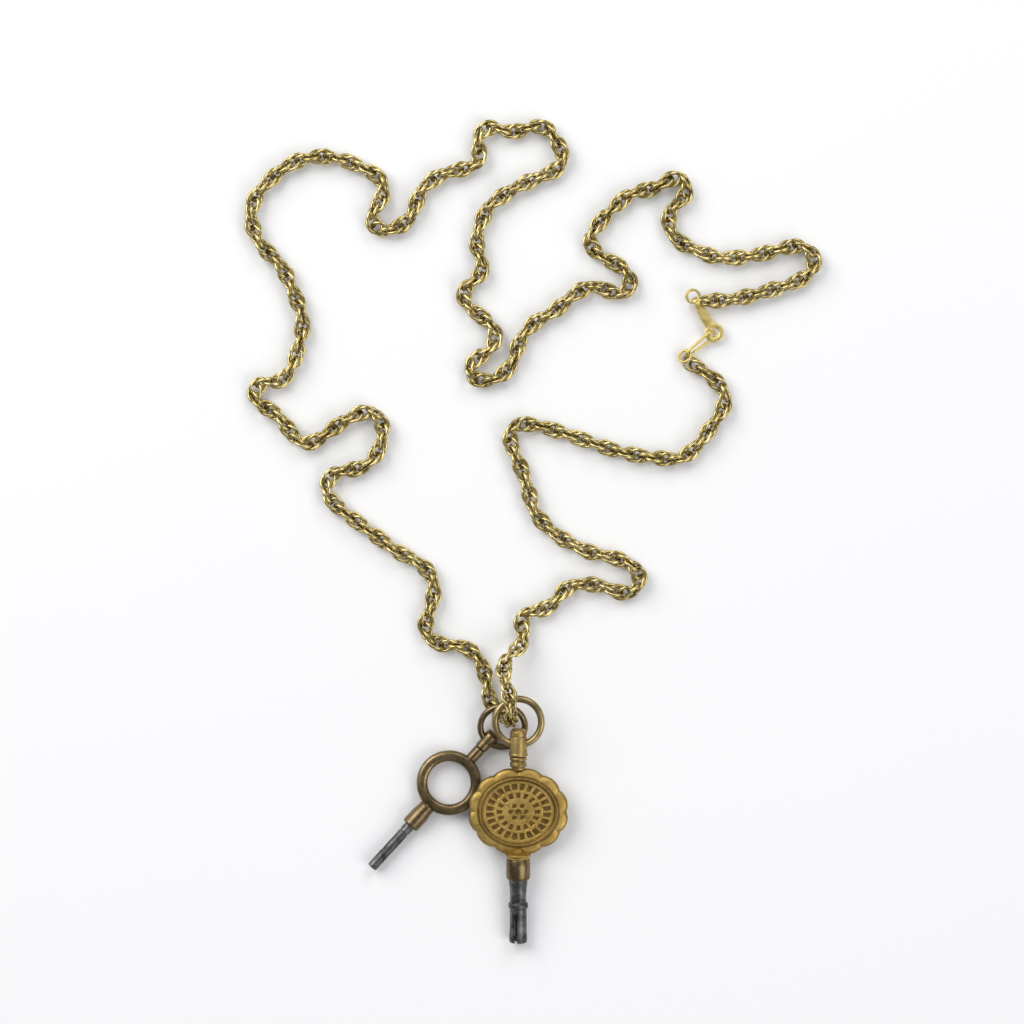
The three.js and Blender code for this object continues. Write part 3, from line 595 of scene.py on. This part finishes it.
def rope():
    """The rope as one piece per fold, each running from the middle of one stretch to the next's."""
    line, reach, starts = rope_line()
    ends = starts[1:] + [reach[-1]]
    middles = [(a + b) / 2 for a, b in zip(starts, ends)]
    middles[0], middles[-1] = -1.0, reach[-1] + 1.0  # the end pieces take the end links too
    places = link_places(line, reach)
    half_turns = round((LINK_TURN * (len(places) - 1) - 90) / 180)
    turn_each = (90 + 180 * half_turns) / (len(places) - 1)  # upright first link, flat last link
    wobble = random.Random(11)
    for n, (here, there) in enumerate(zip(STRETCHES, STRETCHES[1:])):
        shape = Shape()
        for k, (along, centre, direction, side) in enumerate(places):
            if middles[n] <= along < middles[n + 1]:
                angle = math.radians(90 + turn_each * k)
                link(shape, centre, direction, Matrix.Rotation(angle, 3, direction) @ side, wobble)
        name = f"rope_{n + 1:02d}_{here['body']}_{there['body']}"
        piece = finished(shape.made(name), CHAIN_GOLD, sharp_angle=80)
        letter, place = there["fold"]
        index = "xy".index(letter)
        middle, step = Vector((0, 0, 0)), Vector((0, 0, 0))
        middle[index] = place
        step[index] = BLEND_REACH * MM * (-1 if lies_past(here, index, place) else 1)
        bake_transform(piece)
        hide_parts(*here["nodes"], *there["nodes"])


# ---- Shared pieces of the keys ----------------------------------------------------------------

STEM_RADIUS = 0.4
STEM_HEAD_RADIUS = 0.75
STEM_BORE_RADIUS = 0.62
HEAD_BORE_RADIUS = 0.9
STEM_TOP = -1.15
STEM_SHOULDER = -1.45
POST_SHOULDER = -1.75
CROSS_HOLE_RADIUS = 0.92
CROSS_DRILL_REACH = 4
SOCKET_DEPTH = 6
CUT_PAST_END = 1  # how far a cut starts outside the end that it opens
STEM = [(STEM_RADIUS, STEM_SHOULDER), (STEM_HEAD_RADIUS, STEM_SHOULDER),
        (STEM_HEAD_RADIUS, STEM_TOP), (0, STEM_TOP)]


def settled(piece, body, material, slot, *nodes, sharp_angle=SHARP_ANGLE):
    """piece made part of the object: it rides on a body and stands for CAD nodes."""
    finished(piece, material, sharp_angle)
    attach(piece, body)
    if nodes:
        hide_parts(*nodes)


def placed(shape, name, place, body, material, slot, *nodes, sharp_angle=SHARP_ANGLE):
    """A piece of the object made straight from its shape."""
    settled(shape.made(name, place), body, material, slot, *nodes, sharp_angle=sharp_angle)


def bow_shape(radius, wire):
    """A bow whose wire runs through the post's cross-hole, at the origin."""
    return swept(ring_points(radius, 120, (0, radius - BOW_SEAT, 0)), wire, sides=24, closed=True)


def drill(radius, low, high, sides=40):
    """A plain rod along Y, used only to cut round holes."""
    return turned([(0, low), (radius, low), (radius, high), (0, high)], sides, fillet=0)


def post_piece(name, outline, foot, place):
    """A post. These cuts are meant to give it a cross-hole and a stepped bore for the swivel stem,
    but its mesh comes out solid."""
    piece = turned(outline).made(name, place)
    cross = drill(CROSS_HOLE_RADIUS, -CROSS_DRILL_REACH, CROSS_DRILL_REACH)
    head = drill(HEAD_BORE_RADIUS, POST_SHOULDER, 0)
    stem = drill(STEM_BORE_RADIUS, foot - CUT_PAST_END, 0)
    return combined(piece, "DIFFERENCE", cross.made("cross", place @ turn("Z", 90)),
                    head.made("head", place), stem.made("stem", place))


def socket_cutter(end, side, place):
    """The square winding hole up the end of a pipe."""
    half = side / 2
    low = (-half, end - CUT_PAST_END, -half)
    high = (half, end + SOCKET_DEPTH, half)
    return box_shape(low, high).made("socket", place)


# ---- Key 1: the medallion key -----------------------------------------------------------------

PIPE_1_END = -37.5
SOCKET_1_SIDE = 1.5
SLIT_LEFT = -0.52
SLIT_RIGHT = -0.2
SLIT_TOP = -32.0
SLIT_CUT_HEIGHT = 4  # the slit is cut from the pipe's middle up to this height
NICK_AT = -0.42
NICK_HALF_WIDTH = 0.2
NICK_REACH = 1.6
NICK_TURN = 12
MEDALLION_HALF_WIDTH = 9.4
MEDALLION_HALF_HEIGHT = 8.25
MEDALLION_CENTRE = -12.75
MEDALLION_BACK = -0.9
FIELD_HEIGHT = 0.38
RIM_TOP = 0.9
RIM_HALF_WIDTH = 7.65
RIM_HALF_HEIGHT = 6.7
RIM_INSIDE = 0.875  # the rim's inner edge, as a share of its outer edge
LOBES = 12
LOBE_DEPTH = 0.45
RIM_TARNISH = 0.8  # how brown the rim is, from 0 to 1
BACK_TARNISH = 0.6
BAND_DOME = 0.62  # how far the scalloped band falls from the rim to the disc's edge
BAND_EDGE = -0.2
NOTCH_DEPTH = 0.28
NOTCH_TARNISH = 0.6
EDGE_TARNISH = 0.75
PUNCH_DEPTH = 0.26
PUNCH_EDGE = 0.02  # the slope at a punch's edge, as a share of the rim's size
ANGLE_STEPS = 480
FIELD_ROWS = 66
RIM_ROWS = 14
BAND_ROWS = 16


def in_cell(angle, count, fill, stagger=0.0):
    """1 inside each of count equal cells round the medallion that fill that share of the way."""
    phase = (angle * count / (2 * math.pi) + stagger) % 1 - 0.5
    return step_up(fill / 2, abs(phase), PUNCH_EDGE * count / 3)


def in_ring(share, inner, outer):
    """1 between two ovals, each given as a share of the rim's."""
    return step_up(share, inner, PUNCH_EDGE) * step_up(outer, share, PUNCH_EDGE)


def in_dot(share, angle, centre_share, centre_angle, radius):
    """1 inside a round dot."""
    across = share * math.cos(angle) - centre_share * math.cos(centre_angle)
    along = share * math.sin(angle) - centre_share * math.sin(centre_angle)
    return step_up(radius, math.hypot(across, along), PUNCH_EDGE)


def punched(share, angle):
    """How deep, from 0 to 1, the plain punched pattern is at a place in the medallion's field:
    two rings of rectangles round a rosette of seven dots."""
    border = in_cell(angle, 24, 0.62) * in_ring(share, 0.61, 0.79)
    middle = in_cell(angle, 16, 0.52, 0.5) * in_ring(share, 0.39, 0.53)
    dots = [in_dot(share, angle, 0.19, math.radians(60 * k), 0.055) for k in range(6)]
    return max(border, middle, *dots, in_dot(share, angle, 0, 0, 0.07))


def notch(angle):
    """0 at the crown of each lobe of the medallion's edge and 1 in the notch between two."""
    return 1 - abs(math.sin(LOBES * angle / 2))


def medallion_shape():
    """The scalloped oval disc: rings of points from the middle of its face, over the rim and the
    lobes, to the middle of its back, each at its own height and with its own patina."""
    shape = Shape()
    angles = [2 * math.pi * k / ANGLE_STEPS for k in range(ANGLE_STEPS)]

    def oval(share, height, patina):
        """A ring of points round the oval that is that share of the rim's."""
        shape.add([(RIM_HALF_WIDTH * share * math.cos(a), RIM_HALF_HEIGHT * share * math.sin(a),
                    height(a)) for a in angles], [], [patina(a) for a in angles])

    def scalloped(share, inset, height, patina):
        """A ring of points that share of the way from the rim to the scalloped edge."""
        vertices = []
        for a in angles:
            size = LOBE_DEPTH * ((1 - notch(a)) ** 0.8 - 1) - inset
            edge = Vector(((MEDALLION_HALF_WIDTH + size) * math.cos(a),
                           (MEDALLION_HALF_HEIGHT + size) * math.sin(a), height(a)))
            start = Vector((RIM_HALF_WIDTH * math.cos(a), RIM_HALF_HEIGHT * math.sin(a), height(a)))
            vertices.append(start.lerp(edge, share))
        shape.add(vertices, [], [patina(a) for a in angles])

    for k in range(1, FIELD_ROWS + 1):
        share = RIM_INSIDE * k / FIELD_ROWS
        oval(share, lambda a: FIELD_HEIGHT - PUNCH_DEPTH * punched(share, a),
             lambda a: punched(share, a))
    for k in range(1, RIM_ROWS + 1):
        bulge = math.sin(math.pi * k / RIM_ROWS) ** 0.6
        height = FIELD_HEIGHT + (RIM_TOP - FIELD_HEIGHT) * bulge
        oval(RIM_INSIDE + (1 - RIM_INSIDE) * k / RIM_ROWS, lambda a: height, lambda a: RIM_TARNISH)
    for k in range(1, BAND_ROWS + 1):
        share = k / BAND_ROWS
        dome = BAND_DOME * math.sqrt(1 - share**2.6) + BAND_EDGE
        stained = EDGE_TARNISH * step_up(share, 0.82, 0.3)
        scalloped(share, 0, lambda a: dome - NOTCH_DEPTH * share * notch(a) ** 2,
                  lambda a: max(stained, NOTCH_TARNISH * share * notch(a) ** 3))
    edge = ((0, -0.55), (0.05, -0.75), (0.2, MEDALLION_BACK))
    for inset, height in edge:
        scalloped(1, inset, lambda a: height, lambda a: BACK_TARNISH)
    back_groove = ((0.9, MEDALLION_BACK), (0.88, -0.8), (0.84, -0.8), (0.82, MEDALLION_BACK))
    for share, height in back_groove:
        oval(share, lambda a: height, lambda a: BACK_TARNISH)

    rows = len(shape.vertices) // ANGLE_STEPS
    shape.faces = grid_faces(rows, ANGLE_STEPS, close_rows=False)
    shape.add([(0, 0, FIELD_HEIGHT - PUNCH_DEPTH), (0, 0, MEDALLION_BACK)], [], [1.0, BACK_TARNISH])
    last_row = (rows - 1) * ANGLE_STEPS
    for k in range(ANGLE_STEPS):
        after = (k + 1) % ANGLE_STEPS
        shape.faces.append((rows * ANGLE_STEPS, k, after))
        shape.faces.append((rows * ANGLE_STEPS + 1, last_row + after, last_row + k))
    return shape


def post_1(body):
    foot, tip = -2.25, 2.9
    outline = [(0, foot), (1.7, foot), (1.78, -2.1), (1.78, -1.85), (1.66, -1.7), (1.6, 1.32),
               (1.45, 1.4), (1.45, 1.52), (1.53, 1.6), (1.5, 2.4), (1.05, tip), (0, tip)]
    settled(post_piece("post_1_barrel", outline, foot, body), "post_1", POST_BRASS, "key_1_brass",
            "key_1_post")


def neck_1(body):
    """The ringed neck, with the swivel stem that turns in the post."""
    neck = turned([(0, -4.95), (0.9, -4.95), (1.2, -4.7), (1.2, -4.4), (1.5, -4.25),
                   (1.6, -3.85), (1.52, -3.4), (1.3, -3.25), (1.3, -3.12), (1.56, -3.0),
                   (1.6, -2.65), (1.45, -2.38), (STEM_RADIUS, -2.35), *STEM])
    placed(neck, "key_1_ringed_neck", body, "key_1", POST_BRASS, "key_1_brass", "key_1_neck")


def ferrule_1(body):
    """The medallion's flared lip and the darker ferrule under it."""
    lip = turned([(0, -22.0), (1.6, -22.0), (1.95, -21.75), (2.1, -21.5), (2.05, -21.3),
                  (2.15, -21.2), (2.35, -21.0), (2.3, -20.75), (2.0, -20.55), (1.5, -20.3),
                  (0.75, -19.6), (0, -19.6)])
    placed(lip, "key_1_medallion_lip", body, "key_1", OCHRE_BRASS, "key_1_brass")
    ferrule = turned([(0, -25.5), (1.6, -25.5), (1.7, -25.4), (2.0, -25.5), (2.15, -25.35),
                      (2.25, -24.9), (2.25, -22.6), (2.15, -21.7), (1.9, -21.45), (0, -21.45)])
    placed(ferrule, "key_1_shiny_ferrule", body, "key_1", FERRULE_BRASS, "key_1_brass",
           "key_1_ferrule")


def pipe_1(body):
    """The waisted winding pipe, slit along its top and nicked at the mouth of the slit."""
    end = PIPE_1_END
    pipe = turned([(0, end), (1.45, end), (1.66, end + 0.15), (1.68, end + 1.0), (1.6, -35.2),
                   (1.57, -31.3), (1.6, -31.0), (1.8, -30.9), (1.85, -30.6), (1.85, -30.2),
                   (1.75, -29.95), (1.5, -29.8), (1.5, -28.6), (1.6, -27.0), (1.74, -25.9),
                   (1.74, -25.0), (0, -25.0)]).made("key_1_steel_pipe", body)
    slit = box_shape((SLIT_LEFT, end - CUT_PAST_END, 0), (SLIT_RIGHT, SLIT_TOP, SLIT_CUT_HEIGHT))
    nick = box_shape((-NICK_HALF_WIDTH, -NICK_REACH, 0),
                     (NICK_HALF_WIDTH, NICK_REACH, SLIT_CUT_HEIGHT))
    nick_place = body @ shift(NICK_AT, end, 0) @ turn("Z", NICK_TURN)
    combined(pipe, "DIFFERENCE", slit.made("slit", body), nick.made("nick", nick_place),
             socket_cutter(end, SOCKET_1_SIDE, body))
    settled(pipe, "key_1", WORN_STEEL, "steel", "key_1_pipe")


def key_1():
    base = shift(*KEY_1_PIVOT)
    body = base @ turn("X", KEY_1_TILT)
    placed(bow_shape(BOW_1_RADIUS, BOW_1_WIRE), "bow_1_ring", base @ turn("X", BOW_1_TILT),
           "bow_1", BOW_BRASS, "key_1_brass", "key_1_bow")
    post_1(body)
    neck_1(body)
    placed(medallion_shape(), "key_1_scalloped_medallion", body @ shift(0, MEDALLION_CENTRE, 0),
           "key_1", OCHRE_BRASS, "key_1_brass", "key_1_medallion", sharp_angle=60)
    ferrule_1(body)
    pipe_1(body)


# ---- Key 2: the ring-handled key --------------------------------------------------------------

HANDLE_RING_RADIUS = 5.05
HANDLE_RING_SECTION = 1.15
HANDLE_SQUARENESS = 0.05
HANDLE_CENTRE = -10.7
PIPE_2_END = -32.1
SOCKET_2_SIDE = 1.05


def handle_ring_shape():
    """The finger ring, whose round section is softly squared."""
    shape = Shape()
    around, section = 128, 32
    vertices = []
    for j in range(around):
        a = 2 * math.pi * j / around
        for k in range(section):
            b = 2 * math.pi * k / section
            size = HANDLE_RING_SECTION * 0.95 * (1 - HANDLE_SQUARENESS * math.cos(4 * b))
            reach = HANDLE_RING_RADIUS + size * math.cos(b)
            height = size * math.sin(b)
            vertices.append((reach * math.cos(a), HANDLE_CENTRE + reach * math.sin(a), height))
    shape.add(vertices, grid_faces(around, section))
    return shape


def post_2(place):
    foot, tip = -2.0, 1.9
    outline = [(0, foot), (1.16, foot), (1.2, -1.85), (1.22, -0.6), (1.36, 0.4), (1.42, 1.1),
               (1.1, tip), (0, tip)]
    settled(post_piece("post_2_barrel", outline, foot, place), "post_2", BRONZE_BRASS,
            "key_2_brass", "key_2_post")


def handle_2(body):
    """The finger ring in one piece with its neck, swivel stem and ferrule."""
    handle = handle_ring_shape().made("key_2_ring_handle", body)
    neck = turned([(0, -5.6), (0.3, -5.6), (0.7, -5.4), (0.98, -5.0), (1.07, -4.5), (1.1, -4.0),
                   (1.1, -2.2), (1.0, -2.08), (STEM_RADIUS, -2.08), *STEM]).made("neck", body)
    ferrule = turned([(0, -21.6), (1.15, -21.6), (1.3, -21.5), (1.58, -21.55), (1.7, -21.2),
                      (1.7, -18.8), (1.6, -18.1), (1.48, -17.4), (1.5, -16.9), (1.35, -16.4),
                      (1.0, -16.1), (0.3, -15.9), (0, -15.9)]).made("ferrule", body)
    combined(handle, "UNION", neck, ferrule)
    settled(handle, "key_2", BRONZE_BRASS, "key_2_brass", "key_2_handle")


def pipe_2(body):
    end = PIPE_2_END
    pipe = turned([(0, end), (0.86, end), (0.96, end + 0.12), (0.97, -23.4), (0.9, -23.3),
                   (0.9, -23.15), (1.0, -23.05), (1.0, -21.4), (0, -21.4)], sides=56, fillet=0.05)
    pipe = pipe.made("key_2_steel_pipe", body)
    combined(pipe, "DIFFERENCE", socket_cutter(end, SOCKET_2_SIDE, body))
    settled(pipe, "key_2", WORN_STEEL, "steel", "key_2_pipe")


def key_2():
    body = shift(*KEY_2_PIVOT) @ turn("Z", KEY_2_HEADING)
    rolled = body @ turn("Y", BOW_2_ROLL)
    placed(bow_shape(BOW_2_RADIUS, BOW_2_WIRE), "bow_2_ring", rolled @ turn("X", BOW_2_TILT),
           "bow_2", BRONZE_BRASS, "key_2_brass", "key_2_bow")
    post_2(rolled)
    handle_2(body)
    pipe_2(body)


# ---- Clasp ------------------------------------------------------------------------------------

TAG_THICKNESS = 0.45
TAG_DISC_RADIUS = 1.8
TAG_HOLE_RADIUS = 0.85
TAG_HALF_WIDTH = 0.87
TAG_EYE_OUTER = 0.85
TAG_EYE_BORE = 0.45
TAG_EYE_HALF_WIDTH = 0.5
STRIP_START = 1.45
STRIP_SHOULDER = 5.3
STRIP_NECK = 5.9
STRIP_END = 6.6
STRIP_BEVEL = 0.07
HOOK_RING_OFFSET = 0.45
HOOK_FAR_RADIUS = 0.62  # the hook narrows towards the ring that it hangs on


def disc_shape():
    """The pierced disc: a washer about Z with rounded edges."""
    middle = (TAG_HOLE_RADIUS + TAG_DISC_RADIUS) / 2
    reach = (TAG_DISC_RADIUS - TAG_HOLE_RADIUS) / 2
    around, steps = 72, 20
    roundness = 0.7  # 1 would make the washer's section an oval, and 0 a box
    section = []
    for k in range(steps):
        a = -2 * math.pi * k / steps
        out = math.copysign(abs(math.cos(a)) ** roundness, math.cos(a))
        up = math.copysign(abs(math.sin(a)) ** roundness, math.sin(a))
        section.append((middle + reach * out, TAG_THICKNESS / 2 * up))
    shape = Shape()
    vertices = []
    for j in range(around):
        a = 2 * math.pi * j / around
        vertices.extend((r * math.cos(a), r * math.sin(a), z) for r, z in section)
    shape.add(vertices, [tuple(reversed(face)) for face in grid_faces(around, steps)])
    return shape


def strip_shape():
    """The flat strip between the disc and the rolled eye, narrowed at its far end."""
    half = TAG_THICKNESS / 2
    edge = [(TAG_HALF_WIDTH, STRIP_START), (TAG_HALF_WIDTH, STRIP_SHOULDER),
            (TAG_EYE_HALF_WIDTH, STRIP_NECK), (TAG_EYE_HALF_WIDTH, STRIP_END)]
    outline = edge + [(-x, y) for x, y in reversed(edge)]
    shape = Shape()
    count = len(outline)
    shape.vertices = [(x, y, z) for z in (-half, half) for x, y in outline]
    shape.faces = [(k, (k + 1) % count, count + (k + 1) % count, count + k) for k in range(count)]
    shape.faces += [tuple(reversed(range(count))), tuple(range(count, 2 * count))]
    return shape


def softened(piece, width):
    """piece with its edges bevelled."""
    modifier = piece.modifiers.new("bevel", "BEVEL")
    modifier.width = width * MM
    modifier.segments = 2
    modifier.limit_method = "ANGLE"
    return combined(piece, "UNION")


def hook_points():
    """The hook's wire: a long narrow loop that starts and ends by the bend at the ring."""
    near_radius = math.hypot(HOOK_HALF_HEIGHT, HOOK_HALF_SPREAD)
    near, far = -near_radius, HOOK_FAR_RADIUS - HOOK_LENGTH
    bends = ((near, near_radius, -90, 90), (far, HOOK_FAR_RADIUS, 90, 270))
    steps = 16
    points = [(far + 0.75, -HOOK_FAR_RADIUS - 0.07, 0), (far + 1.7, -HOOK_FAR_RADIUS - 0.24, 0)]
    for centre, radius, first, last in bends:
        for k in range(steps + 1):
            a = math.radians(first + (last - first) * k / steps)
            points.append((centre + radius * math.cos(a), radius * math.sin(a), 0))
    points.append((far + 0.2, -HOOK_FAR_RADIUS, 0))
    return smooth_path(points, 6)


def smooth_path(points, per_step):
    """Points along a Catmull-Rom curve through the given ones."""
    path = [Vector(p) for p in points]
    result = []
    for i in range(len(path) - 1):
        a, b = path[max(i - 1, 0)], path[i]
        c, d = path[i + 1], path[min(i + 2, len(path) - 1)]
        for k in range(per_step):
            t = k / per_step
            result.append(0.5 * (2 * b + (c - a) * t + (2 * a - 5 * b + 4 * c - d) * t**2
                                 + (3 * b - a - 3 * c + d) * t**3))
    return result + [path[-1]]


def end_ring_shape():
    return swept(ring_points(END_RING_RADIUS, 48), CLASP_WIRE, closed=True)


def tag():
    """The strip with its pierced disc, rolled at the other end round the ring that it hangs on."""
    place = shift(*TAG_HOLE) @ turn("Z", TAG_HEADING)
    eye_height = TAG_EYE_OUTER - TAG_THICKNESS / 2
    eye = place @ shift(0, TAG_EYE_AT, eye_height) @ turn("Z", 90)
    piece = softened(strip_shape().made("clasp_tag_strip", place), STRIP_BEVEL)
    roll = turned([(0, -TAG_EYE_HALF_WIDTH), (TAG_EYE_OUTER, -TAG_EYE_HALF_WIDTH),
                   (TAG_EYE_OUTER, TAG_EYE_HALF_WIDTH), (0, TAG_EYE_HALF_WIDTH)], sides=40)
    bore = drill(TAG_EYE_BORE, -2, 2, sides=32).made("bore", eye)
    combined(piece, "UNION", disc_shape().made("disc", place), roll.made("roll", eye))
    combined(piece, "DIFFERENCE", bore)
    settled(piece, "tag", CLASP_GOLD, "clasp", "clasp_tag", sharp_angle=25)
    ring_place = place @ shift(0, TAG_EYE_AT + END_RING_RADIUS, eye_height)
    placed(end_ring_shape(), "clasp_tag_end_ring", ring_place, "upper", CLASP_GOLD, "clasp",
           "clasp_tag_ring")


def hook():
    """The wire hook, leaning to one side, and the ring at its narrow end."""
    lean = math.degrees(math.atan2(HOOK_HALF_HEIGHT, HOOK_HALF_SPREAD))
    place = shift(*TAG_HOLE) @ turn("Z", HOOK_HEADING) @ turn("X", lean)
    placed(swept(hook_points(), CLASP_WIRE), "clasp_wire_hook", place, "hook", CLASP_GOLD,
           "clasp", "clasp_hook", sharp_angle=50)
    ring_place = place @ shift(-HOOK_LENGTH - HOOK_RING_OFFSET, 0, 0) @ turn("X", 90)
    placed(end_ring_shape(), "clasp_hook_end_ring", ring_place, "middle", CLASP_GOLD, "clasp",
           "clasp_hook_ring")


rope()
key_1()
key_2()
tag()
hook()

# ---- Camera, table and light ------------------------------------------------------------------


def camera():
    """The camera, looking straight down."""
    data = bpy.data.cameras.new("camera")
    data.sensor_width = SENSOR_WIDTH
    data.lens = SENSOR_WIDTH * CAMERA_HEIGHT / VIEW_WIDTH
    view = bpy.data.objects.new("camera", data)
    view.location = (VIEW_CENTRE[0] * MM, VIEW_CENTRE[1] * MM, CAMERA_HEIGHT * MM)
    bpy.context.scene.collection.objects.link(view)
    bpy.context.scene.camera = view


def area_light(name, place, size, power, colour=(1, 1, 1)):
    """A square soft light at a place in metres, aimed at the object."""
    data = bpy.data.lights.new(name, "AREA")
    data.shape = "SQUARE"
    data.size = size
    data.energy = power
    data.color = colour
    light = bpy.data.objects.new(name, data)
    light.location = place
    aim = Vector((0, 0, 0)) - Vector(place)
    light.rotation_euler = aim.to_track_quat("-Z", "Y").to_euler()
    bpy.context.scene.collection.objects.link(light)


def studio():
    """The table, three soft lights round the object and a little light from everywhere."""
    floor = Shape()
    half = TABLE_HALF_SIDE
    floor.add([(-half, -half, 0), (half, -half, 0), (half, half, 0), (-half, half, 0)],
              [(0, 1, 2, 3)])
    table = floor.made("table")
    table.data.materials.append(table_surface())
    world = bpy.data.worlds.new("studio")
    world.use_nodes = True
    world.node_tree.nodes["Background"].inputs["Color"].default_value = (0.9, 0.93, 1.0, 1)
    world.node_tree.nodes["Background"].inputs["Strength"].default_value = 0.3
    bpy.context.scene.world = world
    area_light("window_light", (-0.6, 0.5, 0.7), 0.8, 7.6, (1.0, 0.99, 0.97))
    area_light("fill_light", (0.8, -0.5, 0.9), 0.9, 6.0, (1.0, 0.98, 0.95))
    area_light("back_light", (0.45, 0.85, 0.8), 0.7, 4.0, (0.98, 0.99, 1.0))
    bpy.context.scene.view_settings.view_transform = "Standard"


camera()
studio()
